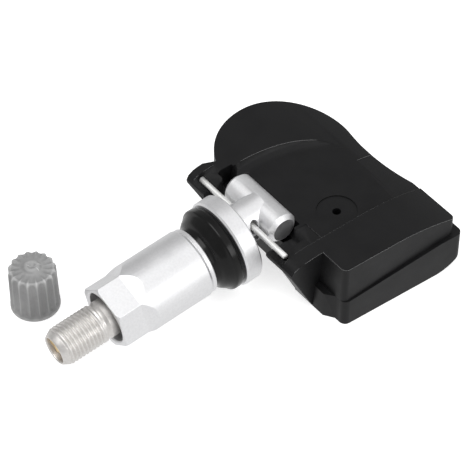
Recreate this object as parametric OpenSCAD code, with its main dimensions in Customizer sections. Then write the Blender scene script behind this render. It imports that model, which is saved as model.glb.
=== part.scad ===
// Tyre pressure sensor with a clamp-in metal valve that swivels on a crossbar.
// The origin is on the base, straight below the middle of the crossbar. X runs along
// the crossbar towards the box side, Y away from the valve's tip, Z up. Millimetres.

/* [Housing outline] */
// Left and right position of the battery lobe's centre
lobe_x = -8.3; // [-9:0.1:-8]
// Distance of the battery lobe's centre behind the crossbar
lobe_y = 13; // [12.8:0.1:13.4]
// Radius of the battery lobe
lobe_r = 14.1; // [13.6:0.1:14.4]
// Left side of the box
box_left = 14.3; // [13.8:0.1:14.8]
// Right side of the box at its front
box_right = 23.8; // [23:0.1:25]
// How much further out the right side is at the back
box_slant = 0.6; // [0.2:0.1:0.9]
// The same for the base, which stands out more at the back
base_slant = 1.1; // [0.6:0.1:1.4]
// Front of the box
box_front = 1.1; // [0.8:0.1:1.5]
// Back of the box
box_back = 27.9; // [27:0.1:28.4]
// Radius of the shallow hollow in the middle's back
waist_r = 32; // [28:1:50]
// Left and right position of that hollow
waist_x = 1.5; // [1:0.1:2]
// Front of the middle, behind the crossbar
mid_front = 4.2; // [4:0.1:4.5]
// Radius of the upright corners
corner_r = 1.2; // [0.6:0.1:1.6]
// Radius of the base's back corner
base_corner_r = 1.4; // [1.2:0.1:2.5]

/* [Housing heights] */
// Height of the seam between the two halves at the front
seam_z = 6; // [5.8:0.1:6.3]
// Rise of the seam towards the back
seam_rise = 2.3; // [1:0.1:2.6]
// Height of the lobe and the box
top_z = 14.7; // [14.5:0.1:15.4]
// Height of the valley between lobe and box at its front
valley_z = 13.1; // [12.9:0.1:13.4]
// Slope of the valley's floor, in degrees
valley_slope = 2.2; // [1:0.1:3]
// Edge of the lobe over the valley
step_x = -11; // [-11.5:0.1:-10.5]
// Radius on which that edge curves, seen from above
step_r = 29; // [26:1:34]
// Radius of the shallow hollow at the foot of the lobe's edge
step_foot_r = 3.9; // [3:0.1:5]
// Height of that hollow's upper end over the valley's floor
step_foot_h = 0.6; // [0.5:0.05:0.8]
// Lean of the lobe's edge, in degrees
step_lean = 25; // [15:1:35]
// Radius by which the top falls towards the back
crown_r = 50; // [46:1:60]
// Place where the top starts to fall
crown_start = 13; // [11:0.5:14]
// Radius by which the underside rises at the back
rocker_r = 9; // [8:0.5:12]
// Place where the underside starts to rise
rocker_start = 23; // [21:0.5:24]
// Wall of the housing
wall = 1.6; // [1.3:0.1:1.7]
// Ledge by which the base stands out from the upper housing
flange = 0.35; // [0.2:0.05:0.6]
// Depth of that ledge at the back of the box
back_ledge = 1.6; // [0.8:0.1:1.8]

/* [Yoke] */
// Half of the gap between the two ears
yoke_half = 9.6; // [9.5:0.1:9.9]
// Outer side of the left ear
left_ear = 15.2; // [14.8:0.1:15.8]
// Outer side of the right ear
right_ear = 17.4; // [17:0.1:17.8]
// Reach of the ears in front of the crossbar
ear_reach = 6.2; // [6:0.1:6.3]
// Front of the base between the ears
base_front = 1.2; // [0.9:0.1:1.3]
// Height of the underside of the ears' lips
lip_z = 10.8; // [10.4:0.1:11.2]
// Outer side of the pockets beside the crossbar's ends
pocket_half = 11.4; // [10.8:0.1:11.8]
// Back of these pockets
pocket_back = 1.9; // [1.6:0.1:2.4]
// Height of the crossbar's axis, on which the valve swivels
bar_z = 13; // [12.9:0.1:13.1]
// Radius of the crossbar
bar_r = 3.2; // [3:0.05:3.3]
// Length of the crossbar's trough without its clearances
bar_len = 15.3; // [14.3:0.1:15.9]
// How much the crossbar is shorter on its right
bar_short = 0.4; // [0:0.1:0.5]
// Chamfer of the crossbar's ends
bar_edge = 0.8; // [0.3:0.1:1.2]
// Running clearance of the crossbar in its trough
bar_gap = 0.08; // [0.04:0.01:0.1]
// Clearance at each end of the crossbar
end_gap = 0.25; // [0.1:0.05:0.4]
// Radius of the retaining wire
wire_r = 0.6; // [0.5:0.05:0.65]
// Half of the length of the retaining wire
wire_half = 13.1; // [12.6:0.1:13.4]
// Distance of the retaining wire in front of the crossbar's axis
wire_y = 4.2; // [4.1:0.05:4.3]
// Height of the retaining wire
wire_z = 13.2; // [13.1:0.05:13.3]
// Clearance round the wire in the neck's cross slot
slot_gap = 0.25; // [0.2:0.05:0.35]
// Swing of the valve up or down for which that slot has room, in degrees
swing = 10; // [10:5:10]

/* [Valve] */
// Angle by which the stem points down at rest
stem_tilt = 5; // [4:0.5:5]
// Distance of the stem's axis below the crossbar's axis
stem_drop = 2.8; // [2.6:0.1:2.9]
// Radius of the neck
neck_r = 3.6; // [3.4:0.05:3.7]
// Depth of the neck's oval section below the crossbar's axis
neck_drop = 2; // [1.8:0.1:2.1]
// Distance of the collar's back from the crossbar's axis
collar_back = 6.6; // [6.6:0.1:6.9]
// Thickness of the collar
collar_len = 3.6; // [3:0.1:3.8]
// Radius of the collar
collar_r = 9; // [8.8:0.1:9]
// Outer radius of the stem's thread
stem_r = 3.87; // [3.8:0.01:3.9]
// Distance of the tip's end face from the crossbar's axis
tip_s = 48.3; // [47.3:0.1:49.3]
// Radius of the stem behind its thread
shank_r = 3.8; // [3.75:0.01:3.85]
// Length of the thread from the tip
thread_len = 9.6; // [9:0.1:12]
// Radius of the relief groove behind the thread
relief_r = 3.3; // [3.2:0.05:3.5]
// Width of that groove
relief_len = 0.6; // [0.4:0.1:1]
// Radius of the bore that takes the valve core
core_bore_r = 2.65; // [2.6:0.01:2.75]
// Radius of the air way behind the core
air_r = 1.2; // [1:0.05:1.3]

/* [Clamping nut and grommet] */
// Length of the grommet in front of the collar
grommet_len = 5.5; // [5:0.1:6]
// Radius of the grommet's wide band
grommet_r = 8.6; // [8.2:0.1:8.8]
// Radius of the grommet's sleeve inside the nut
sleeve_r = 5; // [4.8:0.05:5]
// Thickness of the thrust washer
washer_len = 1; // [0.8:0.1:1.2]
// Length of the nut
nut_len = 20.1; // [19.5:0.1:21]
// Radius of the nut
nut_r = 7; // [6.9:0.05:7.1]
// Distance of the nut's flats from its axis
flat_r = 6; // [5.9:0.05:6.2]
// Length of the nut's flats from the mouth
flat_len = 5.1; // [4.5:0.1:6]
// Length of the ramps behind the flats
ramp_len = 2.5; // [1.5:0.1:3]
// Turn of the hexagon about the stem, in degrees
hex_turn = 42; // [0:1:59]
// Radius of the nut's mouth
mouth_r = 5.2; // [5:0.05:5.3]
// Depth of the nut's mouth
mouth_len = 6.8; // [4:0.1:7]
// Running clearance of the nut and the washer
run_gap = 0.06; // [0.03:0.01:0.08]

/* [Valve cap] */
// Left and right position of the loose cap
cap_x = -16.4; // [-18:0.1:-13]
// Distance of the loose cap in front of the crossbar
cap_y = 41.4; // [40:0.1:45]
// Height of the cap without its button
cap_h = 10.1; // [9:0.1:10.5]
// Radius of the cap at its mouth
cap_foot_r = 4.8; // [4.7:0.05:5]
// Radius of the cap at its top
cap_top_r = 4.6; // [4.4:0.05:4.7]
// Number of flutes round the cap
flutes = 16; // [12:1:18]

/* [Electronics] */
// Height of the circuit board's underside
board_z = 8; // [7.9:0.1:8.2]
// Thickness of the circuit board
board_t = 1; // [0.8:0.1:1.1]
// Radius of the battery cell
cell_r = 10; // [9.6:0.1:10.2]
// Thickness of the battery cell
cell_t = 3.2; // [3:0.1:3.3]
// Height of the battery cell's underside
cell_z = 4; // [3.9:0.1:4.1]
// Thickness of the battery's contact strips
strip_t = 0.3; // [0.2:0.05:0.35]
// Left and right position of the pressure port
port_x = 9.7; // [9.3:0.1:10.1]
// Distance of the pressure port behind the crossbar
port_y = 10.8; // [10.4:0.1:11.2]
// Radius of the pressure port
port_r = 0.85; // [0.7:0.05:1]

/* [Hidden] */
$fn = 96;
e = 0.02;

plastic = [0.13, 0.13, 0.14];
metal = [0.8, 0.81, 0.83];
steel = [0.6, 0.61, 0.63];
rubber = [0.08, 0.08, 0.08];
brass = [0.8, 0.64, 0.32];
cap_grey = [0.45, 0.45, 0.46];

// Stations along the stem, from the crossbar's axis towards the tip
collar_front = collar_back + collar_len;
washer_s = collar_front + grommet_len;
nut_s = washer_s + washer_len;
nut_front = nut_s + nut_len;

// Front of the feet and of the saddle under the crossbar
sill_y = -0.25;
room_front = mid_front + wall;
far = 60;

// Place up to which the seam rises; start and lean of the shallow cut beside the box
seam_run = 24;
ridge_x = 2;
ridge_lean = 1.2;

// Tops of the circuit board and its chip, place of the coil, depth of the cap
board_top = board_z + board_t;
chip_h = 1.2;
coil_x = box_right - wall - 4.2;
coil_y = 9;
coil_len = 8;
coil_side = 3.4;
coil_end = 1;
cap_room_r = stem_r + 0.08;
cap_room_h = 7.4;

// The valve core's stations, as depths behind the tip's face
barrel_top = 0.8;
barrel_len = 7.4;
pin_top = 0.6;
pin_r = 0.7;
barrel_r = core_bore_r - 0.1;
barrel_foot_r = 1.9;
core_room_r = 1.45;

// The hollow in the back runs smoothly into the lobe
waist_y = lobe_y + sqrt(pow(lobe_r + waist_r, 2) - pow(waist_x - lobe_x, 2));
waist_start = lobe_x + (waist_x - lobe_x) * lobe_r / (lobe_r + waist_r);
mid_back = waist_y - waist_r;

// The housing seen from above, grown all round by a margin
module plan_outline(grow) {
    intersection() {
        translate([lobe_x, lobe_y]) circle(lobe_r + grow, $fn = 144);
        translate([-far, sill_y]) square([2 * far, 2 * far]);
    }
    difference() {
        translate([waist_start, mid_front - grow])
            square([box_left - waist_start + 2, box_back - mid_front]);
        translate([waist_x, waist_y]) circle(waist_r - grow, $fn = 240);
    }
    translate([lobe_x, mid_front - grow]) square([box_left - lobe_x, lobe_y - mid_front]);
}

// The box seen from above, with a right side that leans out towards the back
module box_outline(grow, slant, back, r) {
    x1 = box_right + grow;
    y1 = box_back + back;
    turn = atan(slant / (y1 - box_front - 2 * r));
    strip = (y1 - box_front - 2 * r) / cos(turn);
    round_rect(box_left - grow, box_front, x1, y1, r);
    intersection() {
        translate([x1 - r, box_front + r]) rotate(-turn) {
            translate([-r, 0]) square([2 * r, strip]);
            translate([-r, strip - 1]) square([r, r + 1]);
            translate([0, strip]) circle(r);
        }
        square([2 * far, y1]);
    }
}

// A rectangle with round corners
module round_rect(x0, y0, x1, y1, r) {
    translate([x0 + r, y0]) square([x1 - x0 - 2 * r, y1 - y0]);
    translate([x0, y0 + r]) square([x1 - x0, y1 - y0 - 2 * r]);
    for (x = [x0 + r, x1 - r], y = [y0 + r, y1 - r]) translate([x, y]) circle(r);
}

// The room inside the housing seen from above, shrunk all round by an inset
module room_outline(inset) {
    front = room_front + inset;
    intersection() {
        translate([lobe_x, lobe_y]) circle(lobe_r - wall - inset);
        translate([-far, front]) square([far, far]);
    }
    translate([lobe_x, front]) square([box_left - lobe_x, mid_back - wall - inset - front]);
    box_room(inset);
}

// The part of that room inside the box
module box_room(inset) {
    front = room_front + inset;
    translate([box_left - 1, front])
        square([box_right - wall - inset - box_left + 1, box_back - wall - inset - front]);
}

// The round room that takes the battery cell, below the crossbar's trough
module cell_room() {
    translate([lobe_x, lobe_y, 0]) cylinder(r = cell_r + 0.5, h = cell_z + cell_t + 0.5);
}

// A side view in Y and Z, drawn through the whole part from one X to another
module side_prism(x0, x1) {
    translate([x0, 0, 0]) rotate([90, 0, 90]) linear_extrude(x1 - x0) children();
}

// A front view in X and Z, drawn from one Y to another
module front_prism(y0, y1) {
    translate([0, y1, 0]) rotate([90, 0, 0]) linear_extrude(y1 - y0) children();
}

// Side view of all that lies under the seam, moved up by a lift
module under_seam(lift) {
    polygon([[-far, seam_z + lift], [0, seam_z + lift], [seam_run, seam_z + seam_rise + lift],
        [far, seam_z + seam_rise + lift], [far, -far], [-far, -far]]);
}

// Side view of what lies over the falling back of the top
module over_crown(inset) {
    difference() {
        translate([crown_start, top_z / 2]) square([far, far]);
        translate([crown_start, top_z - crown_r]) circle(crown_r - inset, $fn = 240);
    }
}

// Side view of the material between the curved underside and the curved top
module between_curves(inset) {
    difference() {
        translate([-far, inset]) square([2 * far, top_z - 2 * inset]);
        over_crown(inset);
        difference() {
            translate([rocker_start, -far]) square([far, far + top_z / 2]);
            translate([rocker_start, rocker_r]) circle(rocker_r - inset, $fn = 240);
        }
    }
}

// Side view of the valley's room above its sloping floor
module valley_side() {
    translate([mid_front, valley_z]) rotate(valley_slope) translate([-far, 0])
        square([2 * far, far]);
}

// Room beside the lobe: its edge curves and leans, and its foot is a hollow
module step_room() {
    step_y = 1.1;
    rise = top_z - valley_z;
    edge_x = step_r - (rise - step_foot_h) * tan(step_lean);
    foot_x = edge_x - sqrt(pow(step_foot_r, 2) - pow(step_foot_r - step_foot_h, 2));
    translate([0, mid_front, valley_z]) rotate([valley_slope, 0, 0])
        translate([step_x + step_r, step_y, 0]) rotate_extrude($fn = 240) {
            difference() {
                polygon([[0, 0], [edge_x, 0], [edge_x, step_foot_h],
                    [step_r + 5 * tan(step_lean), rise + 5], [0, rise + 5]]);
                difference() {
                    translate([foot_x, -1]) square([edge_x - foot_x + 1, step_foot_h + 1]);
                    translate([foot_x, step_foot_r]) circle(step_foot_r);
                }
            }
        }
}

// A shallow cut that leaves the box's edge standing up to its back
module ridge_cut() {
    intersection() {
        translate([0, 0, top_z]) rotate([0, ridge_lean, 0]) translate([0, 0, -top_z])
            side_prism(ridge_x, far) over_crown(0);
        cube([box_left, far, far]);
    }
}

// The valley between the lobe and the box, open towards the crossbar
module valley_room() {
    difference() {
        intersection() {
            side_prism(-far, box_left) valley_side();
            step_room();
        }
        translate([-far, -far, 0]) cube([far - yoke_half, far - 2.4, far]);
    }
}

// Side view of an ear: leaning front, hooked lip and a top that falls to the front
module ear_side(z_top) {
    back = mid_front + 1;
    polygon([[back, 0], [sill_y, 0], [-ear_reach, lip_z + 1.2], [-ear_reach, z_top - 2],
        [0.5 - ear_reach, z_top - 1.2], [1.6 - ear_reach, z_top - 0.6], [3.1 - ear_reach, z_top - 0.3],
        [ear_reach - 6.7, z_top], [back, z_top]]);
}

// An ear on the right, with its outer side at a given place
module ear(outer, z_top) {
    rib_in = 2.4;
    rib_top = 4.6;
    draft = 1;
    intersection() {
        side_prism(yoke_half, outer) ear_side(z_top);
        front_prism(-far, far)
            polygon([[yoke_half, z_top], [yoke_half, lip_z], [yoke_half + rib_top, lip_z + 1],
                [yoke_half + rib_in, 0], [outer - draft, 0], [outer, z_top]]);
    }
    side_prism(yoke_half, outer - draft) intersection() {
        ear_side(z_top);
        translate([sill_y, 0]) square([far, far]);
    }
}

// Both ears, at their full height; the left one runs in towards the lobe
module ears() {
    run_in = 1.2;
    run_y = -2.3;
    ear(right_ear, top_z);
    difference() {
        mirror([1, 0, 0]) ear(left_ear, top_z);
        linear_extrude(2 * top_z, center = true) polygon([[-left_ear - 1, run_y], [-left_ear, run_y],
            [run_in - left_ear, run_y + 2.2], [run_in - left_ear, far], [-left_ear - 1, far]]);
    }
}

// The trough in which the crossbar turns, with room for the neck and at the bar's ends
module trough() {
    half = bar_len / 2 + end_gap;
    pocket_z = 10.4;
    neck_room = 0.9;
    translate([-half, 0, bar_z]) rotate([0, 90, 0]) cylinder(r = bar_r + bar_gap, h = 2 * half);
    translate([-half, -far, bar_z - bar_r]) cube([2 * half, far, far]);
    translate([-neck_r - neck_room, -far, bar_z - neck_r - neck_drop - 0.6])
        cube([2 * (neck_r + neck_room), far + 1.7, far]);
    for (side = [0, 1]) mirror([side, 0, 0])
        translate([half, sill_y - 1.2, pocket_z])
            cube([pocket_half - half, pocket_back - sill_y + 1.2, far]);
}

// The open grooves in the ears in which the retaining wire lies
module wire_grooves() {
    groove = wire_r + 0.05;
    half = wire_half + 0.3;
    translate([-half, -wire_y, wire_z]) rotate([0, 90, 0]) cylinder(r = groove, h = 2 * half);
    translate([-half, -wire_y - groove, wire_z]) cube([2 * half, 2 * groove, far]);
}

// The front part of the ears' tops, at the height of the valley
module ear_tops() {
    left_end = 13.4;
    shelf_z = wire_z - 0.2;
    translate([yoke_half - 1, -far, shelf_z])
        cube([box_left - yoke_half + 1, far + mid_front, far]);
    side_prism(-left_end, 1 - yoke_half)
        polygon([[-far, shelf_z], [-3.2, shelf_z], [-0.8, top_z], [-0.8, far], [-far, far]]);
}

// The housing's room, lower under the valley than under the lobe
module upper_room() {
    low_ceiling = valley_z - wall;
    cell_room();
    linear_extrude(low_ceiling) room_outline(0);
    intersection() {
        linear_extrude(top_z) {
            intersection() {
                room_outline(0);
                translate([step_x - wall - far, 0]) square([far, far]);
            }
            intersection() {
                box_room(0);
                translate([box_left + wall, 0]) square([far, far]);
            }
        }
        side_prism(-far, far) between_curves(wall);
    }
}

// The pressure port and the round step about it
module port() {
    step_r = 4;
    step_depth = 0.2;
    floor_z = valley_z + (port_y - mid_front) * tan(valley_slope);
    translate([port_x, port_y, 0]) cylinder(r = port_r, h = far);
    translate([port_x, port_y, floor_z - step_depth]) rotate([valley_slope, 0, 0])
        cylinder(r = step_r, h = far);
}

module upper_housing() {
    color(plastic) difference() {
        intersection() {
            union() {
                linear_extrude(top_z) {
                    plan_outline(0);
                    box_outline(0, box_slant, 0, corner_r);
                }
                translate([-yoke_half - 1, sill_y, 0])
                    cube([2 * yoke_half + 2, mid_front - sill_y + 1, valley_z]);
                ears();
            }
            side_prism(-far, far) between_curves(0);
        }
        side_prism(-far, far) under_seam(0);
        valley_room();
        ridge_cut();
        trough();
        ear_tops();
        wire_grooves();
        upper_room();
        port();
    }
}

// Posts on the base that carry the battery cell and the circuit board
module posts() {
    post_r = 1.2;
    cell_ring = 7;
    for (a = [90, 210, 330]) translate([lobe_x, lobe_y, 0]) rotate(a) translate([cell_ring, 0, 0])
        cylinder(r = post_r, h = cell_z);
    for (x = [5, box_right - wall - 3], y = [room_front + 2, mid_back - wall - 2])
        translate([x, y, 0]) cylinder(r = post_r, h = board_z);
}

// The base's feet and front seen from above
module feet_outline() {
    foot = 19.5;
    back = mid_front + 1;
    polygon([[1 - left_ear, back], [1 - left_ear, sill_y], [foot, sill_y],
        [foot + 2, box_front], [foot + 2, back]]);
}

module base_cover() {
    gap_half = 11.2;
    color(plastic) {
        difference() {
            intersection() {
                union() {
                    linear_extrude(top_z) {
                        plan_outline(flange);
                        box_outline(flange, base_slant, back_ledge, base_corner_r);
                        feet_outline();
                    }
                    ears();
                }
                side_prism(-far, far) intersection() {
                    under_seam(0);
                    between_curves(0);
                }
            }
            translate([-gap_half, -far, -1]) cube([2 * gap_half, far + base_front, far]);
            intersection() {
                union() {
                    linear_extrude(top_z) room_outline(0);
                    cell_room();
                }
                side_prism(-far, far) between_curves(wall);
            }
        }
        intersection() {
            posts();
            side_prism(-far, far) between_curves(wall / 2);
        }
    }
}

module circuit_board() {
    inset = 0.4;
    mark = 1.5;
    color("darkgreen") difference() {
        translate([0, 0, board_z]) linear_extrude(board_t) room_outline(inset);
        translate([box_right - wall, box_back - wall, 0]) cylinder(r = mark, h = far);
    }
}

module battery_cell() {
    rim = 0.6;
    can = cell_t - 2 * rim;
    color(steel) translate([lobe_x, lobe_y, cell_z]) {
        cylinder(r = cell_r - 1.2, h = rim);
        translate([0, 0, rim]) cylinder(r = cell_r, h = can);
        translate([0, 0, rim + can]) cylinder(r1 = cell_r, r2 = cell_r - rim, h = rim);
    }
}

// A contact strip that ends in a leg up to the board at its right end
module battery_strip(y, z, reach) {
    strip_w = 4;
    start = 4;
    translate([lobe_x - start, y - strip_w / 2, z]) cube([start + reach, strip_w, strip_t]);
    translate([lobe_x + reach - strip_t, y - strip_w / 2, z]) cube([strip_t, strip_w, board_z - z]);
}

module battery_tab_top() {
    color(steel) battery_strip(lobe_y + 4.5, cell_z + cell_t, cell_r + 0.8);
}

module battery_tab_bottom() {
    color(steel) battery_strip(lobe_y, cell_z - strip_t, cell_r + 1.6);
}

module sensor_chip() {
    side = 5;
    color("dimgray") difference() {
        translate([port_x - side / 2, port_y - side / 2, board_top]) cube([side, side, chip_h]);
        translate([port_x, port_y, board_top + chip_h / 2]) cylinder(r = port_r, h = chip_h);
    }
}

// A soft tube that seals the pressure port to the chip
module port_gasket() {
    bottom = board_top + chip_h;
    color(rubber) translate([port_x, port_y, bottom])
        difference() {
            cylinder(r = 2.2, h = valley_z - wall - bottom);
            translate([0, 0, -1]) cylinder(r = port_r + 0.15, h = far);
        }
}

module radio_crystal() {
    color("silver") translate([2, 17, board_top]) round_box(3.2, 2.5, 0.8, 0.5);
}

// A flat block with round upright corners
module round_box(w, d, h, r) {
    linear_extrude(h) round_rect(-w / 2, -d / 2, w / 2, d / 2, r);
}

module coil_core() {
    color("dimgray") translate([coil_x, coil_y, board_top]) {
        for (y = [0, coil_len - coil_end])
            translate([-coil_side / 2, y, 0]) cube([coil_side, coil_end, coil_side]);
        translate([0, 0, coil_side / 2]) rotate([-90, 0, 0]) cylinder(r = 0.9, h = coil_len);
    }
}

module coil_winding() {
    color("chocolate") translate([coil_x, coil_y + coil_end, board_top + coil_side / 2])
        rotate([-90, 0, 0]) difference() {
            cylinder(r = 1.4, h = coil_len - 2 * coil_end);
            translate([0, 0, -1]) cylinder(r = 0.9, h = far);
        }
}

module board_capacitors() {
    first_x = 4.5;
    first_y = 11;
    pitch_x = 2.5;
    pitch_y = 3;
    long = 1.6;
    low = 0.8;
    color("tan") for (i = [0:2], j = [0:1])
        translate([first_x - i * pitch_x, first_y - j * pitch_y, board_top])
            round_box(long, low, low, low / 8);
}

// A wire bow that stands on the board inside the box
module antenna_loop() {
    r = 0.4;
    x1 = box_right - wall - 1.6;
    x0 = x1 - 4;
    y = 21.5;
    rise = 2.2;
    bend = 1.2;
    color(brass) {
        for (x = [x0, x1]) translate([x, y, board_top]) cylinder(r = r, h = rise - bend);
        translate([x0 + bend, y, board_top + rise]) rotate([0, 90, 0])
            cylinder(r = r, h = x1 - x0 - 2 * bend);
        translate([x0 + bend, y, board_top + rise - bend]) rotate([90, 0, 0])
            rotate([0, 0, 90]) rotate_extrude(angle = 90) translate([bend, 0]) circle(r);
        translate([x1 - bend, y, board_top + rise - bend]) rotate([90, 0, 0])
            rotate_extrude(angle = 90) translate([bend, 0]) circle(r);
    }
}

module retaining_wire() {
    color(metal) translate([-wire_half, -wire_y, wire_z]) rotate([0, 90, 0])
        cylinder(r = wire_r, h = 2 * wire_half);
}

// Places its children on the crossbar's axis, with Z out along the stem and Y up
module bar_frame() {
    translate([0, 0, bar_z]) rotate([90 + stem_tilt, 0, 0]) children();
}

// Places its children on the stem's axis, with Z out along the stem and Y up
module stem_frame() {
    bar_frame() translate([0, -stem_drop, 0]) children();
}

// The oval neck that joins the crossbar to the collar
module neck() {
    cylinder(r = neck_r, h = collar_back + e);
    translate([0, -neck_drop, 0]) cylinder(r = neck_r, h = collar_back + e);
    translate([-neck_r, -neck_drop, 0]) cube([2 * neck_r, neck_drop, collar_back + e]);
}

module valve_stem() {
    edge = 0.35;
    tip_cone = 1.7;
    tip_face = 0.85;
    core_len = 10.5;
    seat = 1.5;
    outlet_s = 4.3;
    thread_s = tip_s - thread_len;
    x0 = -bar_len / 2;
    x1 = bar_len / 2 - bar_short;
    color(metal) difference() {
        union() {
            bar_frame() {
                rotate([0, 90, 0]) rotate_extrude() polygon([[0, x0], [bar_r - bar_edge, x0],
                    [bar_r, x0 + bar_edge], [bar_r, x1 - bar_edge], [bar_r - bar_edge, x1], [0, x1]]);
                neck();
            }
            stem_frame() rotate_extrude() polygon([[0, collar_back],
                [collar_r - edge, collar_back], [collar_r, collar_back + edge],
                [collar_r, collar_front - edge], [collar_r - edge, collar_front],
                [shank_r, collar_front], [shank_r, thread_s - relief_len - shank_r + relief_r],
                [relief_r, thread_s - relief_len], [relief_r, thread_s], [stem_r, thread_s],
                [stem_r, tip_s - tip_cone], [stem_r - tip_face, tip_s], [0, tip_s]]);
        }
        stem_frame() {
            translate([0, 0, tip_s - core_len]) cylinder(r = core_bore_r, h = far);
            translate([0, 0, tip_s - core_len - seat])
                cylinder(r1 = core_bore_r - 0.9, r2 = core_bore_r, h = seat + e);
            translate([0, 0, outlet_s]) cylinder(r = air_r, h = tip_s);
            translate([-collar_r, 0, outlet_s]) rotate([0, 90, 0])
                cylinder(r = air_r, h = 2 * collar_r);
        }
        for (a = [-swing, -swing / 2, 0, swing / 2, swing])
            translate([-collar_r, 0, bar_z]) rotate([a, 0, 0])
                translate([0, -wire_y, wire_z - bar_z]) rotate([0, 90, 0])
                    cylinder(r = wire_r + slot_gap, h = 2 * collar_r);
    }
}

module grommet() {
    band = 2.4;
    waist = 0.35;
    nose_r = 6.1;
    sleeve_len = 3.6;
    end = collar_front + grommet_len;
    color(rubber) stem_frame() rotate_extrude() polygon([[shank_r + e, collar_front],
        [grommet_r - waist, collar_front], [grommet_r - waist, collar_front + 0.5],
        [grommet_r, collar_front + 0.9], [grommet_r, collar_front + band - 0.3],
        [grommet_r - 0.3, collar_front + band], [nose_r + 0.5, end - 1.4], [nose_r, end],
        [sleeve_r, end], [sleeve_r, end + sleeve_len], [shank_r + e, end + sleeve_len]]);
}

module thrust_washer() {
    edge = 0.2;
    outer = nut_r - 0.2;
    inner = sleeve_r + run_gap;
    color(metal) stem_frame() rotate_extrude() polygon([[inner, washer_s], [outer - edge, washer_s],
        [outer, washer_s + edge], [outer, nut_s], [inner, nut_s]]);
}

// What is cut from the nut on one side: a flat with a ramp behind it
module nut_flat() {
    ramp_s = nut_front - flat_len - ramp_len;
    translate([-nut_r, 0, 0]) rotate([90, 0, 90]) linear_extrude(2 * nut_r)
        polygon([[flat_r, nut_front + 1], [flat_r, nut_front - flat_len], [nut_r + e, ramp_s],
            [nut_r + 1, ramp_s], [nut_r + 1, nut_front + 1]]);
}

module clamp_nut() {
    rear_cone = 0.4;
    rear_face = 0.2;
    edge = 0.5;
    rear_room = 3.8;
    thread_end = nut_front - mouth_len;
    color(metal) stem_frame() difference() {
        rotate_extrude() polygon([[sleeve_r + run_gap, nut_s], [nut_r - rear_face, nut_s],
            [nut_r, nut_s + rear_cone], [nut_r, nut_front - edge],
            [nut_r - edge, nut_front], [mouth_r + 0.3, nut_front], [mouth_r, nut_front - 0.3],
            [mouth_r, thread_end], [stem_r + run_gap, thread_end - 0.8],
            [stem_r + run_gap, nut_s + rear_room], [sleeve_r + run_gap, nut_s + rear_room - 0.6]]);
        for (i = [0:5]) rotate(hex_turn + 60 * i) nut_flat();
    }
}

// Places its children at a depth behind the tip's face
module core_frame(depth) {
    stem_frame() translate([0, 0, tip_s - depth]) children();
}

module core_barrel() {
    bridge = 1.2;
    foot = 0.9;
    len = barrel_len;
    color(brass) core_frame(barrel_top + len) difference() {
        union() {
            cylinder(r = barrel_foot_r, h = 1.6);
            translate([0, 0, 1.5]) cylinder(r = barrel_r, h = len - 1.5 - bridge);
            translate([0, 0, len - bridge - e])
                intersection() {
                    cylinder(r = barrel_r, h = bridge + e);
                    translate([-barrel_r, -0.9, 0]) cube([2 * barrel_r, 1.8, far]);
                }
        }
        translate([0, 0, -1]) cylinder(r = pin_r + 0.05, h = far);
        translate([0, 0, foot]) cylinder(r = core_room_r, h = len - foot - bridge);
    }
}

// The sealing ring round the barrel's foot
module core_ring() {
    inner = barrel_foot_r + e;
    outer = core_bore_r - e;
    low = 0.1;
    full = 0.9;
    high = 1.4;
    color("white") core_frame(barrel_top + barrel_len) rotate_extrude()
        polygon([[inner, low], [inner + 0.2, low], [outer, full], [outer, high], [inner, high]]);
}

module core_pin() {
    reach = 2.4;
    foot_r = 1.35;
    foot_h = 0.9;
    collar_gap = 0.2;
    collar_h = 0.6;
    foot = barrel_top + barrel_len + reach;
    collar_at = barrel_top + 1.35;
    color(brass) {
        core_frame(foot) cylinder(r = pin_r, h = foot - pin_top);
        core_frame(collar_at + collar_h) cylinder(r = core_room_r - collar_gap, h = collar_h);
        core_frame(foot) cylinder(r = foot_r, h = foot_h);
    }
}

module core_seal() {
    top = barrel_top + barrel_len + 0.05;
    color(rubber) core_frame(top + 1.4) difference() {
        cylinder(r = 1.5, h = 1.4);
        translate([0, 0, -1]) cylinder(r = pin_r + e, h = far);
    }
}

// A point on the spring's wire: i along the coil, j round the wire
function spring_point(i, j, steps, turns, sides, coil_r, w, len) =
    let (a = 360 * turns * i / steps, b = 360 * j / sides)
    [(coil_r + w * cos(b)) * cos(a), (coil_r + w * cos(b)) * sin(a), w + (len - 2 * w) * i / steps
        + w * sin(b)];

module core_spring() {
    turns = 7;
    steps = turns * 14;
    sides = 6;
    w = 0.16;
    coil_r = 1.05;
    bottom = barrel_top + barrel_len - 0.95;
    len = bottom - (barrel_top + 2.05);
    points = [for (i = [0:steps], j = [0:sides - 1])
        spring_point(i, j, steps, turns, sides, coil_r, w, len)];
    skin = [for (i = [0:steps - 1], j = [0:sides - 1])
        let (k = (j + 1) % sides)
        [i * sides + j, (i + 1) * sides + j, (i + 1) * sides + k, i * sides + k]];
    ends = [[for (j = [0:sides - 1]) j], [for (j = [0:sides - 1]) steps * sides + sides - 1 - j]];
    color(steel) core_frame(bottom) polyhedron(points, concat(skin, ends), 2);
}

module valve_cap() {
    lip = 0.9;
    flute_r = 0.55;
    button_r = 1.6;
    button_h = 0.6;
    translate([cap_x, -cap_y, 0]) color(cap_grey) difference() {
        union() {
            rotate_extrude() polygon([[0, 0], [cap_foot_r, 0], [cap_foot_r, lip],
                [cap_top_r, cap_h - 0.7], [cap_top_r - 0.7, cap_h], [0, cap_h]]);
            cylinder(r = button_r, h = cap_h + button_h);
        }
        translate([0, 0, -1]) cylinder(r = cap_room_r, h = cap_room_h + 1);
        for (i = [0:flutes - 1]) rotate(360 * i / flutes)
            translate([cap_top_r + 0.35, 0, lip + 0.4]) cylinder(r = flute_r, h = far, $fn = 24);
        translate([0, 0, cap_h + button_h]) sphere(0.7);
    }
}

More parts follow.
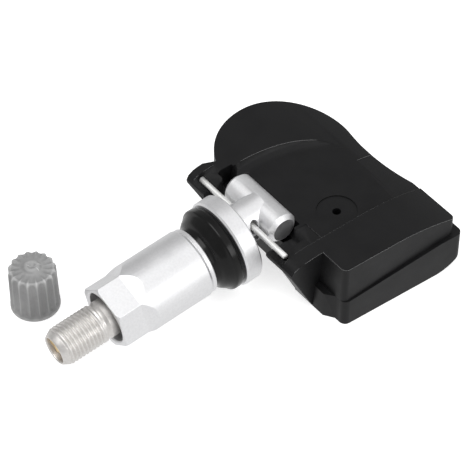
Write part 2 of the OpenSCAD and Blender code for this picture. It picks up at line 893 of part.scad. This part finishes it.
// The soft washer in the bottom of the cap
module cap_seal() {
    side_gap = 0.15;
    seal_h = 1.05;
    hole_r = 1.4;
    color(rubber) translate([cap_x, -cap_y, cap_room_h - seal_h - 0.05]) difference() {
        cylinder(r = cap_room_r - side_gap, h = seal_h);
        translate([0, 0, -1]) cylinder(r = hole_r, h = far);
    }
}

upper_housing();
base_cover();
circuit_board();
battery_cell();
battery_tab_top();
battery_tab_bottom();
sensor_chip();
port_gasket();
radio_crystal();
coil_core();
coil_winding();
board_capacitors();
antenna_loop();
retaining_wire();
valve_stem();
grommet();
thrust_washer();
clamp_nut();
core_barrel();
core_ring();
core_pin();
core_seal();
core_spring();
valve_cap();
cap_seal();
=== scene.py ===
"""Looks of a tyre pressure sensor with a clamp-in metal valve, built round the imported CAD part."""

import math

import bmesh
import bpy
from mathutils import Matrix, Vector


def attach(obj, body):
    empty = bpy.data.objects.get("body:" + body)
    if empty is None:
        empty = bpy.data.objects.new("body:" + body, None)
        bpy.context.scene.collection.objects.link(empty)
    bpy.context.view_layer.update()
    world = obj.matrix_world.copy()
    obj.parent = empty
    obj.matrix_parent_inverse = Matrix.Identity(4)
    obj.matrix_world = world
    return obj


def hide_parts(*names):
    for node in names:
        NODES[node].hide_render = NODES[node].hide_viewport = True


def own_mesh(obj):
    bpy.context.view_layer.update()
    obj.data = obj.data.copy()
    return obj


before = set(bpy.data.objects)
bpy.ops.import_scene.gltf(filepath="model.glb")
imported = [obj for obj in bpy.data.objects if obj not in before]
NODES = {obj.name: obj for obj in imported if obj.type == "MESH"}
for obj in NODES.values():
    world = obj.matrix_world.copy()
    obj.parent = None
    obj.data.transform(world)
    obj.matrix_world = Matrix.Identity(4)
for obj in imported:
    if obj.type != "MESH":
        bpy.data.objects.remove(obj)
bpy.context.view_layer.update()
MM = 0.001

# The CAD's sizes that the visible pieces repeat, in millimetres. Stations are measured along
# the stem from the crossbar's axis.
BAR_Z = 13.0
STEM_TILT = math.radians(5.0)
STEM_DROP = 2.8
COLLAR_FRONT = 10.2
GROMMET_LEN = 5.5
TIP_S = 48.3
STEM_R = 3.87
SHANK_R = 3.8
THREAD_LEN = 9.6
PITCH = 0.794
RELIEF_R, RELIEF_LEN = 3.3, 0.6
TIP_CONE, TIP_FACE = 1.7, 0.85
CORE_BORE_R, CORE_BORE_LEN = 2.65, 10.5
AIR_WAY_R = 1.2
SEAM_Z, SEAM_RISE, SEAM_RUN = 6.0, 2.3, 24.0
PORT_X, PORT_Y = 9.7, 10.8
WIRE_HALF, WIRE_R, WIRE_Y, WIRE_Z = 13.1, 0.6, -4.2, 13.2
CAP_X, CAP_Y = -16.4, -41.4

HIGHLIGHT_MARK = "painted_edge_highlight"        # face mark of the housing's top fillets, which get a painted highlight
CREASE_DEGREES = 28.0    # a turn that is taken for an edge and not for a curved face
TURN_STEPS = 96          # corners round a turned piece

# Bounds that tell the housing's edges apart, in millimetres.
PORT_ROOM = 4.6
GROOVE_HALF = 0.75
UPPER_Z = 12.4
SEAM_BAND = 0.12
YOKE_HALF, YOKE_BACK = 12.2, 3.9
RIM_ABOVE, RIM_BELOW = 12.3, 4.0
FRONT_Y, BACK_Y, RIGHT_X = 1.4, 27.2, 23.2
SHORT_EDGE = 1.2
STEEP, LEVEL = 0.45, 0.8    # upright share of the normals of steep and of level faces

OUT = Vector((0, -math.cos(STEM_TILT), -math.sin(STEM_TILT)))
UP = Vector((0, -math.sin(STEM_TILT), math.cos(STEM_TILT)))
SIDE = Vector((1, 0, 0))
BAR = Vector((0, 0, BAR_Z))


def on_stem(s, r=0.0, angle=0.0):
    """A point in millimetres at station s of the stem, r from its axis, angle from +X to up."""
    return (BAR + OUT * s + UP * (r * math.sin(angle) - STEM_DROP)
            + SIDE * (r * math.cos(angle)))


# Materials ---------------------------------------------------------------------------------

class Nodes:
    """Adds nodes and links to one node tree."""

    def __init__(self, tree):
        self.tree = tree

    def node(self, kind, inputs=None, **settings):
        """Adds a node, with the values of some of its inputs and settings."""
        n = self.tree.nodes.new(kind)
        for key, value in settings.items():
            setattr(n, key, value)
        for key, value in (inputs or {}).items():
            n.inputs[key].default_value = value
        return n

    def link(self, a, b):
        self.tree.links.new(a, b)

    def span(self, value, low, high, out_low, out_high, **settings):
        """Maps a value from one range to another."""
        n = self.node("ShaderNodeMapRange", {"From Min": low, "From Max": high,
                                             "To Min": out_low, "To Max": out_high}, **settings)
        self.link(value, n.inputs["Value"])
        return n.outputs["Result"]

    def choose(self, factor, a, b):
        """Shader a where the factor is 0, shader b where it is 1."""
        n = self.node("ShaderNodeMixShader")
        self.link(factor, n.inputs["Fac"])
        self.link(a, n.inputs[1])
        self.link(b, n.inputs[2])
        return n.outputs[0]


class Paint(Nodes):
    """One material on the principled shader."""

    def __init__(self, name):
        self.mat = bpy.data.materials.new(name)
        self.mat.use_nodes = True
        super().__init__(self.mat.node_tree)
        self.bsdf = self.tree.nodes["Principled BSDF"]

    def noise(self, scale, detail, rough):
        """A noise from 0 to 1 that rides on the object."""
        n = self.node("ShaderNodeTexNoise", {"Scale": scale, "Detail": detail, "Roughness": rough})
        self.link(self.node("ShaderNodeTexCoord").outputs["Object"], n.inputs["Vector"])
        return n.outputs["Fac"]

    def mix(self, factor, a, b):
        """Mixes two colours, each given as three numbers or as another node's output."""
        n = self.node("ShaderNodeMix", data_type="RGBA")
        self.link(factor, n.inputs["Factor"])
        for key, value in (("A", a), ("B", b)):
            if isinstance(value, tuple):
                n.inputs[key].default_value = (*value, 1)
            else:
                self.link(value, n.inputs[key])
        return n.outputs["Result"]

    def bump(self, height, strength, distance, before=None):
        """A normal that follows a height, on top of another normal where one is given."""
        n = self.node("ShaderNodeBump", {"Strength": strength, "Distance": distance})
        self.link(height, n.inputs["Height"])
        if before is not None:
            self.link(before, n.inputs["Normal"])
        return n.outputs["Normal"]

    def edges_by_shape(self):
        """1 on convex edges, 0 elsewhere."""
        geo = self.node("ShaderNodeNewGeometry")
        return self.span(geo.outputs["Pointiness"], 0.52, 0.6, 0.0, 1.0)

    def highlight_by_mark(self):
        """1 on the faces that a mesh marks for a painted highlight, 0 elsewhere."""
        return self.node("ShaderNodeAttribute", attribute_name=HIGHLIGHT_MARK).outputs["Fac"]

    def finish(self, metallic, specular, colour, rough, normal):
        """Sets the shader's values, links its colour, roughness and normal, and gives the
        material."""
        self.bsdf.inputs["Metallic"].default_value = metallic
        self.bsdf.inputs["Specular IOR Level"].default_value = specular
        for key, value in (("Base Color", colour), ("Roughness", rough), ("Normal", normal)):
            self.link(value, self.bsdf.inputs[key])
        return self.mat


def moulded_plastic(name, dark, light, rough_low, rough_high, grain, shine=0.5, edge=None,
                    marked=False):
    """Matte moulded plastic; edge is the colour of a painted highlight on marked edges, or of convex
    edges found by shape.
    """
    p = Paint(name)
    cloud = p.noise(180.0, 4.0, 0.6)
    fine = p.noise(grain, 2.0, 0.7)
    colour = p.mix(p.span(cloud, 0.35, 0.65, 0.0, 1.0), dark, light)
    if edge is not None:
        # A painted highlight where the mesh marks edges; lighter convex edges found by shape
        # otherwise.
        colour = p.mix(p.highlight_by_mark() if marked else p.edges_by_shape(), colour, edge)
    rough = p.span(cloud, 0.3, 0.7, rough_low, rough_high)
    return p.finish(0.0, shine, colour, rough, p.bump(fine, 0.35, 0.00004))


def satin_metal(name, dark, light, rough_low, rough_high):
    """Blasted or drawn metal with a fine grain."""
    p = Paint(name)
    cloud = p.noise(260.0, 4.0, 0.6)
    grain = p.noise(2200.0, 3.0, 0.6)
    fine = p.noise(5200.0, 2.0, 0.6)
    colour = p.mix(p.span(grain, 0.35, 0.65, 0.0, 1.0), dark, light)
    rough = p.span(cloud, 0.3, 0.7, rough_low, rough_high)
    normal = p.bump(fine, 0.12, 0.00002, p.bump(grain, 0.14, 0.00002))
    return p.finish(1.0, 0.5, colour, rough, normal)


def rubber_skin(name, dark, light, rough_low, rough_high, shine=0.5):
    """Smooth rubber with a faint cloud in its gloss."""
    p = Paint(name)
    cloud = p.noise(420.0, 5.0, 0.65)
    fine = p.noise(6000.0, 2.0, 0.5)
    colour = p.mix(p.span(cloud, 0.4, 0.75, 0.0, 1.0), dark, light)
    rough = p.span(cloud, 0.3, 0.7, rough_low, rough_high)
    normal = p.bump(fine, 0.2, 0.00002, p.bump(cloud, 0.15, 0.0001))
    return p.finish(0.0, shine, colour, rough, normal)


# The housing's light edge colour is a painted highlight on its marked top fillets.
HOUSING = moulded_plastic("housing_plastic", (0.0055, 0.0055, 0.006), (0.0075, 0.0075, 0.008),
                          0.4, 0.52, 3600.0, shine=0.22, edge=(0.22, 0.22, 0.222), marked=True)
METAL = satin_metal("satin_aluminium", (0.78, 0.78, 0.79), (0.83, 0.83, 0.84), 0.42, 0.54)
THREAD_METAL = satin_metal("threaded_metal", (0.68, 0.66, 0.64), (0.76, 0.74, 0.72), 0.38, 0.5)
WIRE = satin_metal("wire_steel", (0.88, 0.88, 0.87), (0.94, 0.94, 0.93), 0.5, 0.6)
RUBBER = rubber_skin("grommet_rubber", (0.002, 0.002, 0.002), (0.004, 0.004, 0.004), 0.16, 0.24,
                     shine=0.26)
SEAL = rubber_skin("seal_rubber", (0.012, 0.012, 0.012), (0.02, 0.02, 0.02), 0.45, 0.6)
BRASS = satin_metal("core_brass", (0.72, 0.5, 0.2), (0.8, 0.6, 0.28), 0.24, 0.36)
COPPER = satin_metal("coil_copper", (0.55, 0.22, 0.09), (0.66, 0.3, 0.13), 0.3, 0.42)
CAP = moulded_plastic("cap_plastic", (0.23, 0.23, 0.23), (0.31, 0.31, 0.31), 0.34, 0.46, 2600.0,
                      edge=(0.6, 0.6, 0.6))
BOARD = moulded_plastic("board_laminate", (0.01, 0.1, 0.04), (0.02, 0.14, 0.06), 0.35, 0.5, 2600.0)
CHIP = moulded_plastic("chip_plastic", (0.02, 0.02, 0.022), (0.03, 0.03, 0.032), 0.5, 0.65, 4200.0)
FERRITE = moulded_plastic("ferrite", (0.06, 0.06, 0.062), (0.09, 0.09, 0.09), 0.6, 0.75, 2600.0)
CERAMIC = moulded_plastic("ceramic", (0.42, 0.3, 0.18), (0.52, 0.4, 0.26), 0.45, 0.6, 3200.0)
WHITE = moulded_plastic("white_plastic", (0.72, 0.72, 0.7), (0.8, 0.8, 0.78), 0.35, 0.5, 2600.0)

SKINS = {
    "circuit_board": BOARD, "battery_cell": METAL, "battery_tab_top": WIRE,
    "battery_tab_bottom": WIRE, "sensor_chip": CHIP, "port_gasket": SEAL,
    "radio_crystal": METAL, "coil_core": FERRITE, "coil_winding": COPPER,
    "board_capacitors": CERAMIC, "antenna_loop": BRASS, "core_barrel": BRASS,
    "core_ring": WHITE, "core_pin": BRASS, "core_seal": SEAL, "core_spring": WIRE,
    "cap_seal": SEAL, "upper_housing": HOUSING, "base_cover": HOUSING, "valve_stem": METAL,
    "grommet": RUBBER, "thrust_washer": METAL, "clamp_nut": METAL, "retaining_wire": WIRE,
    "valve_cap": CAP,
}
for node, skin in SKINS.items():
    mesh = NODES[node].data
    mesh.materials.clear()
    mesh.materials.append(skin)


# Tools for meshes --------------------------------------------------------------------------

def shaded_mesh(bm, name, crease=CREASE_DEGREES):
    """Makes a mesh of a bmesh: smooth, with hard edges where it turns by more than the crease."""
    mesh = bpy.data.meshes.new(name)
    bm.to_mesh(mesh)
    bm.free()
    for f in mesh.polygons:
        f.use_smooth = True
    mesh.set_sharp_from_angle(angle=math.radians(crease))
    return mesh


def new_piece(mesh, body, material, replaced):
    """Adds a mesh as a piece that rides on a body and stands for a CAD node."""
    obj = bpy.data.objects.new(mesh.name, mesh)
    bpy.context.scene.collection.objects.link(obj)
    mesh.materials.clear()
    mesh.materials.append(material)
    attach(obj, body)
    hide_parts(replaced)
    return obj


def clean_copy(node):
    """A copy of a CAD node's mesh, welded and with its flat faces joined."""
    weld = 1e-6
    flat_degrees = 0.8
    bm = bmesh.new()
    bm.from_mesh(NODES[node].data)
    bmesh.ops.remove_doubles(bm, verts=bm.verts, dist=weld)
    bmesh.ops.dissolve_limit(bm, angle_limit=math.radians(flat_degrees), verts=bm.verts,
                             edges=bm.edges)
    return bm


def sharp_edges(bm, degrees):
    """The edges at which two faces turn by more than some degrees."""
    turn = math.radians(degrees)
    return [e for e in bm.edges if len(e.link_faces) == 2 and e.calc_face_angle(0.0) > turn]


def fillet(bm, chosen, width, segments):
    """Rounds the chosen edges of a mesh by a width in millimetres and gives the new faces."""
    edges = [e for e in chosen if e.is_valid]
    if not edges:
        return []
    made = bmesh.ops.bevel(bm, geom=edges, offset=width * MM, offset_type="OFFSET",
                           segments=segments, profile=0.5, affect="EDGES", clamp_overlap=True,
                           loop_slide=True)
    return made["faces"]


def add_bevel(obj, width, degrees, segments=3):
    """Rounds the edges that turn by more than some degrees by a width in millimetres."""
    bevel = obj.modifiers.new("rounded_edges", "BEVEL")
    bevel.width = width * MM
    bevel.segments = segments
    bevel.limit_method = "ANGLE"
    bevel.angle_limit = math.radians(degrees)
    bevel.harden_normals = True
    bevel.use_clamp_overlap = True


def even_shading(obj):
    """Lets large faces decide the shading of the small ones beside them."""
    even = obj.modifiers.new("even_shading", "WEIGHTED_NORMAL")
    even.keep_sharp = True
    even.weight = 80


def revolve(rings, steps, closed_ends):
    """A mesh from rings, each a function that gives a point by angle; it ends in two flat
    faces, or its last ring is joined to the first."""
    bm = bmesh.new()
    rows = []
    for ring in rings:
        rows.append([bm.verts.new(ring(2 * math.pi * i / steps)) for i in range(steps)])
    pairs = list(zip(rows, rows[1:]))
    if not closed_ends:
        pairs.append((rows[-1], rows[0]))
    for a, b in pairs:
        for i in range(steps):
            j = (i + 1) % steps
            bm.faces.new((a[i], a[j], b[j], b[i]))
    if closed_ends:
        bm.faces.new(rows[0][::-1])
        bm.faces.new(rows[-1])
    bmesh.ops.recalc_face_normals(bm, faces=bm.faces)
    return bm


def stem_ring(s, r):
    """A ring of constant radius at station s, in metres."""
    return lambda angle: on_stem(s, r, angle) * MM


def rounded_profile(points, steps=4):
    """A closed profile of (station, radius, size of the rounding) points, with its corners
    rounded."""
    most = 0.45    # share of a side that one rounding may take
    out = []
    for i, (s, r, size) in enumerate(points):
        p = Vector((s, r))
        a, b = Vector(points[i - 1][:2]), Vector(points[(i + 1) % len(points)][:2])
        reach = min(size, (a - p).length * most, (b - p).length * most)
        start, end = p + (a - p).normalized() * reach, p + (b - p).normalized() * reach
        for k in range(steps + 1):
            t = k / steps
            out.append(start * (1 - t) ** 2 + p * 2 * t * (1 - t) + end * t ** 2)
    return out


# Pieces ------------------------------------------------------------------------------------

def rounded(node, name, body, width, crease):
    """The CAD node with its edges rounded."""
    mesh = shaded_mesh(clean_copy(node), name, crease)
    obj = new_piece(mesh, body, METAL, node)
    add_bevel(obj, width, crease)
    even_shading(obj)


def middle(edge):
    """The middle of an edge, in millimetres."""
    return (edge.verts[0].co + edge.verts[1].co) / (2 * MM)


def seam_height(y):
    """Height of the seam between the two halves, in millimetres."""
    return SEAM_Z + SEAM_RISE * min(1.0, max(0.0, y / SEAM_RUN))


def keeps_sharp(m):
    """Tells whether a point lies by the port, in a groove of the wire or on the seam."""
    near_port = math.hypot(m.x - PORT_X, m.y - PORT_Y) < PORT_ROOM
    near_wire = abs(m.y - WIRE_Y) < GROOVE_HALF and m.z > UPPER_Z
    return near_port or near_wire or abs(m.z - seam_height(m.y)) < SEAM_BAND


def on_rim(edge):
    """Tells whether an edge lies between a steep side of the housing and its top or bottom."""
    m = middle(edge)
    if not edge.is_convex or keeps_sharp(m):
        return False
    side, cover = sorted(abs(f.normal.z) for f in edge.link_faces)
    in_yoke = abs(m.x) < YOKE_HALF and m.y < YOKE_BACK
    return (side < STEEP and cover > LEVEL and not in_yoke
            and (m.z > RIM_ABOVE or m.z < RIM_BELOW))


def on_outside(edge):
    """Tells whether a convex edge below the top lies on the housing's outer side."""
    m = middle(edge)
    outer = m.y < FRONT_Y or m.y > BACK_Y or m.x > RIGHT_X
    long = edge.calc_length() > SHORT_EDGE * MM
    return edge.is_convex and not keeps_sharp(m) and m.z < UPPER_Z and long and outer


def housing_half(node, name):
    """A half of the housing: wide fillets round its outer rim, narrow ones on its sides. The
    fillets on the top are marked for a painted highlight."""
    rim_width, side_width = 0.45, 0.2
    side_crease = 34.0
    highlight_above = 9 * MM
    bm = clean_copy(node)
    mark = bm.faces.layers.float.new(HIGHLIGHT_MARK)
    rim = [e for e in sharp_edges(bm, CREASE_DEGREES) if on_rim(e)]
    # The fillets on the top are marked for the painted highlight.
    for f in fillet(bm, rim, rim_width, 4):
        f[mark] = 1.0 if f.calc_center_median().z > highlight_above else 0.0
    sides = [e for e in sharp_edges(bm, side_crease) if on_outside(e)]
    fillet(bm, sides, side_width, 2)
    obj = new_piece(shaded_mesh(bm, name), "housing", HOUSING, node)
    even_shading(obj)


def rear_stem():
    """The crossbar, neck and collar from the CAD, cut off inside the grommet, edges rounded."""
    cut_s = COLLAR_FRONT + 1.0
    bm = clean_copy("valve_stem")
    bmesh.ops.bisect_plane(bm, geom=bm.verts[:] + bm.edges[:] + bm.faces[:],
                           plane_co=on_stem(cut_s) * MM, plane_no=OUT, clear_outer=True)
    obj = new_piece(shaded_mesh(bm, "valve_body"), "valve", METAL, "valve_stem")
    add_bevel(obj, 0.25, CREASE_DEGREES)
    even_shading(obj)


def front_stem():
    """The shank and its thread, with the bore that holds the valve core."""
    rings_a_turn = 10
    depth = 0.3
    root, flank = 0.12, 0.6    # shares of half a turn that the valley and one side take
    fade = 1.5 * PITCH
    start = TIP_S - THREAD_LEN
    end = TIP_S - TIP_CONE * 0.55
    relief = start - RELIEF_LEN
    cut_s = COLLAR_FRONT + 0.2
    mouth_r = STEM_R - TIP_FACE
    bore_end = TIP_S - CORE_BORE_LEN
    seat_s = bore_end - 1.5

    def thread_radius(s, angle):
        turns = (s / PITCH - angle / (2 * math.pi)) % 1.0
        wave = 1 - abs(2 * turns - 1)
        ridge = min(1.0, max(0.0, (wave - root) / flank))
        fade_in = min(1.0, max(0.0, (s - start) / fade))
        return STEM_R - depth * (1 - ridge) * fade_in

    def tip_radius(s):
        over = max(0.0, s - (TIP_S - TIP_CONE))
        return STEM_R - TIP_FACE * over / TIP_CONE

    def thread_ring(s):
        return lambda angle: on_stem(s, min(thread_radius(s, angle), tip_radius(s)), angle) * MM

    samples = int((end - start) / PITCH * rings_a_turn)
    rings = [stem_ring(s, r) for s, r in (
        (cut_s, SHANK_R), (relief - SHANK_R + RELIEF_R, SHANK_R),
        (relief + 0.06, RELIEF_R + 0.02), (relief + 0.14, RELIEF_R),
        (start - 0.12, RELIEF_R), (start - 0.04, RELIEF_R + 0.06))]
    rings += [thread_ring(start + (end - start) * i / samples) for i in range(samples + 1)]
    rings += [stem_ring(s, r) for s, r in (
        (TIP_S - 0.25, mouth_r + 0.1), (TIP_S - 0.08, mouth_r - 0.02), (TIP_S, mouth_r - 0.12),
        (TIP_S, CORE_BORE_R + 0.16), (TIP_S - 0.1, CORE_BORE_R + 0.04),
        (TIP_S - 0.3, CORE_BORE_R), (bore_end, CORE_BORE_R),
        (seat_s, CORE_BORE_R - 0.9), (seat_s, AIR_WAY_R), (cut_s, AIR_WAY_R))]
    mesh = shaded_mesh(revolve(rings, TURN_STEPS, closed_ends=False), "valve_thread", 40.0)
    new_piece(mesh, "valve", THREAD_METAL, "valve_stem")


def grommet_piece():
    """The grommet: a rounded band, a waist behind it, a cone and the sleeve inside the nut."""
    band_r, sleeve_r, bore_r = 8.6, 5.0, SHANK_R + 0.02
    c = COLLAR_FRONT
    end = c + GROMMET_LEN
    sleeve_end = end + 3.6
    profile = rounded_profile([
        (c, bore_r, 0.02), (c, band_r - 0.5, 0.1), (c + 0.55, band_r - 0.42, 0.25),
        (c + 0.8, band_r, 0.3), (c + 2.15, band_r, 0.35), (c + 2.55, band_r - 0.5, 0.3),
        (c + 3.9, 7.15, 1.0), (end - 1.1, 6.3, 0.5), (end - 0.02, 6.05, 0.15),
        (end - 0.02, sleeve_r, 0.05), (sleeve_end, sleeve_r, 0.3), (sleeve_end, bore_r, 0.05)])
    bm = revolve([stem_ring(s, r) for s, r in profile], TURN_STEPS, closed_ends=False)
    new_piece(shaded_mesh(bm, "grommet_skin", 35.0), "valve", RUBBER, "grommet")


def wire_piece():
    """The retaining wire, with rounded ends."""
    steps = 24
    bays = 12
    end_shape = ((0.0, 0.28), (0.07, 0.42), (0.25, WIRE_R))    # distance from the end, radius
    straight = WIRE_HALF - end_shape[-1][0]
    stations = [(-WIRE_HALF + d, r) for d, r in end_shape]
    stations += [(-straight + 2 * straight * i / bays, WIRE_R) for i in range(1, bays)]
    stations += [(WIRE_HALF - d, r) for d, r in reversed(end_shape)]

    def ring(x, r):
        return lambda a: Vector((x, WIRE_Y + r * math.cos(a), WIRE_Z + r * math.sin(a))) * MM

    bm = revolve([ring(x, r) for x, r in stations], steps, closed_ends=True)
    mesh = shaded_mesh(bm, "wire_pin", 50.0)
    new_piece(mesh, "housing", WIRE, "retaining_wire")


def cap_piece():
    """The valve cap: tapered ribs, a toothed top rim and a small nipple with a dimple."""
    ribs = 16
    steps = ribs * 12
    height, foot_r, top_r = 10.1, 4.8, 4.6
    mouth_r, room_top = 3.95, 7.4
    side_r = foot_r - 0.07
    ribs_from, ribs_to = 1.35, height - 0.75
    rib_depth = 0.42
    side_rings = 8

    def ring(z, r, cut=0.0, lift=0.0):
        """A ring whose grooves are cut inwards by cut and pressed down by lift."""
        def point(angle):
            t = (angle * ribs / (2 * math.pi)) % 1.0
            groove = max(0.0, math.cos(math.pi * (t - 0.5))) ** 1.5
            rr = r - cut * groove
            return Vector((CAP_X + rr * math.cos(angle), CAP_Y + rr * math.sin(angle),
                           z - lift * groove)) * MM
        return point

    rings = [ring(0.0, mouth_r), ring(0.0, foot_r - 0.15), ring(0.12, foot_r),
             ring(0.8, foot_r - 0.03), ring(1.0, foot_r - 0.06, 0.1),
             ring(ribs_from, side_r, rib_depth)]
    for i in range(1, side_rings + 1):
        share = i / side_rings
        rings.append(ring(ribs_from + (ribs_to - ribs_from) * share,
                          side_r + (top_r - side_r) * share, rib_depth))
    rings += [ring(height + z, r, cut, lift) for z, r, cut, lift in (
        (-0.3, top_r - 0.14, 0.4, 0.0), (-0.02, top_r - 0.5, 0.3, 0.2),
        (0.0, top_r - 0.8, 0.1, 0.3), (-0.05, top_r - 1.4, 0.0, 0.22), (-0.1, 2.5, 0.0, 0.05))]
    rings += [ring(height + z, r) for z, r in (
        (-0.08, 1.95), (0.02, 1.75), (0.25, 1.6), (0.44, 1.45), (0.56, 1.2), (0.6, 0.95),
        (0.5, 0.72), (0.25, 0.45), (0.12, 0.15))]
    rings = rings[::-1] + [ring(room_top, mouth_r), ring(room_top, 0.3)]
    mesh = shaded_mesh(revolve(rings, steps, closed_ends=True), "cap_skin", 38.0)
    new_piece(mesh, "housing", CAP, "valve_cap")


housing_half("upper_housing", "housing_shell")
housing_half("base_cover", "base_shell")
rounded("clamp_nut", "nut_body", "nut", 0.18, 18.0)
rounded("thrust_washer", "washer_ring", "washer", 0.08, CREASE_DEGREES)
rear_stem()
front_stem()
grommet_piece()
wire_piece()
cap_piece()
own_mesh(NODES["core_spring"])


# Stage: floor, light and camera ------------------------------------------------------------

WHITE_LIGHT = (1, 1, 1, 1)


def white_floor():
    """A floor that looks white to the camera and in reflections, and keeps the shadow."""
    half = 6.0
    drop = 0.00005
    mesh = bpy.data.meshes.new("floor")
    mesh.from_pydata([(-half, -half, 0), (half, -half, 0), (half, half, 0), (-half, half, 0)],
                     [], [(0, 1, 2, 3)])
    floor = bpy.data.objects.new("floor", mesh)
    bpy.context.scene.collection.objects.link(floor)
    floor.location.z = -drop
    p = Paint("floor_white")
    path = p.node("ShaderNodeLightPath")
    diffuse = p.node("ShaderNodeBsdfDiffuse", {"Color": (0.8, 0.8, 0.8, 1)})
    seen = p.node("ShaderNodeEmission", {"Color": WHITE_LIGHT, "Strength": 0.62})
    mirrored = p.node("ShaderNodeEmission", {"Color": WHITE_LIGHT, "Strength": 0.92})
    lit = p.node("ShaderNodeAddShader")
    p.link(diffuse.outputs[0], lit.inputs[0])
    p.link(seen.outputs[0], lit.inputs[1])
    by_camera = p.choose(path.outputs["Is Camera Ray"], diffuse.outputs[0], lit.outputs[0])
    by_gloss = p.choose(path.outputs["Is Glossy Ray"], by_camera, mirrored.outputs[0])
    p.link(by_gloss, p.tree.nodes["Material Output"].inputs["Surface"])
    mesh.materials.append(p.mat)


def studio():
    """A white room, brighter at the right and behind, and darker low down at the left."""
    world = bpy.data.worlds.new("studio")
    bpy.context.scene.world = world
    world.use_nodes = True
    n = Nodes(world.node_tree)
    where = n.node("ShaderNodeTexCoord").outputs["Generated"]
    path = n.node("ShaderNodeLightPath")

    def lobe(direction, low, high, dim, bright):
        """A strength that goes from dim to bright towards a direction."""
        dot = n.node("ShaderNodeVectorMath", operation="DOT_PRODUCT")
        dot.inputs[1].default_value = Vector(direction).normalized()
        n.link(where, dot.inputs[0])
        return n.span(dot.outputs["Value"], low, high, dim, bright,
                      interpolation_type="SMOOTHSTEP")

    total = n.node("ShaderNodeMath", operation="ADD")
    n.link(lobe((0.6, 0.35, 0.65), 0.35, 0.95, 0.52, 0.88), total.inputs[0])
    n.link(lobe((-0.9, 0.4, 0.15), 0.4, 0.95, 0.0, -0.05), total.inputs[1])
    room = n.tree.nodes["Background"]
    room.inputs["Color"].default_value = WHITE_LIGHT
    n.link(total.outputs[0], room.inputs["Strength"])
    white = n.node("ShaderNodeBackground", {"Color": WHITE_LIGHT, "Strength": 1.0})
    shown = n.choose(path.outputs["Is Camera Ray"], room.outputs[0], white.outputs[0])
    n.link(shown, n.tree.nodes["World Output"].inputs["Surface"])


def softbox(name, place, width, height, power):
    """A rectangular lamp at a place in metres, turned to the origin."""
    data = bpy.data.lights.new(name, "AREA")
    data.shape = "RECTANGLE"
    data.size = width
    data.size_y = height
    data.energy = power
    lamp = bpy.data.objects.new(name, data)
    bpy.context.scene.collection.objects.link(lamp)
    lamp.location = place
    lamp.rotation_mode = "QUATERNION"
    lamp.rotation_quaternion = (-Vector(place)).to_track_quat("-Z", "Y")


def photo_camera():
    """The camera that was fitted to the photo's edges."""
    turn, tilt, roll = math.radians(37.4514), math.radians(46.6714), math.radians(0.3927)
    place = Vector((215.947, -171.476, 297.925)) * MM
    level = Vector((math.sin(turn), math.cos(turn), 0))
    ahead = Vector((-math.cos(turn), math.sin(turn), 0))
    rise = Vector((0, 0, 1))
    up = ahead * math.sin(tilt) + rise * math.cos(tilt)
    back = rise * math.sin(tilt) - ahead * math.cos(tilt)
    rolled_right = level * math.cos(roll) - up * math.sin(roll)
    rolled_up = up * math.cos(roll) + level * math.sin(roll)
    data = bpy.data.cameras.new("photo_camera")
    data.sensor_width = 36.0
    data.lens = 159.98
    data.clip_start, data.clip_end = 0.01, 20.0
    cam = bpy.data.objects.new("photo_camera", data)
    bpy.context.scene.collection.objects.link(cam)
    cam.rotation_mode = "QUATERNION"
    cam.rotation_quaternion = Matrix((rolled_right, rolled_up, back)).transposed().to_quaternion()
    cam.location = place
    bpy.context.scene.camera = cam


white_floor()
studio()
softbox("key", (-0.05, -0.3, 0.8), 0.6, 0.6, 3.0)
softbox("right_fill", (0.8, 0.1, 0.4), 0.6, 0.4, 2.0)
photo_camera()
bpy.context.scene.view_settings.view_transform = "Standard"
